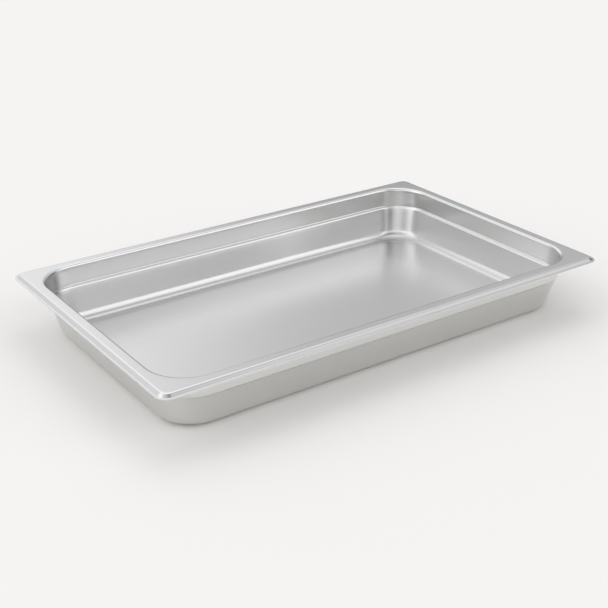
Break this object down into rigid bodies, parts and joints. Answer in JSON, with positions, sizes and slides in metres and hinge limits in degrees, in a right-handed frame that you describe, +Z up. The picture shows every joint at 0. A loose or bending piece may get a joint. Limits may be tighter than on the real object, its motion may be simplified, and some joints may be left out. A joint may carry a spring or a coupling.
{
  "type": "deli food pan",
  "caption": "Full-size rectangular food pan: a shallow deep-drawn stainless tray with a stacking shoulder and a flat rim that hangs in a serving well.",
  "frame": {"origin": "centre of the underside, on the surface the pan stands on", "axes": "+X along the long side, +Y along the short side, +Z up out of the pan"},
  "size_m": [0.527, 0.324, 0.06],
  "materials": {
    "stainless_steel": "satin stainless steel"
  },
  "bodies": {
    "root": {"pan": "stainless_steel"}
  },
  "joints": []
}
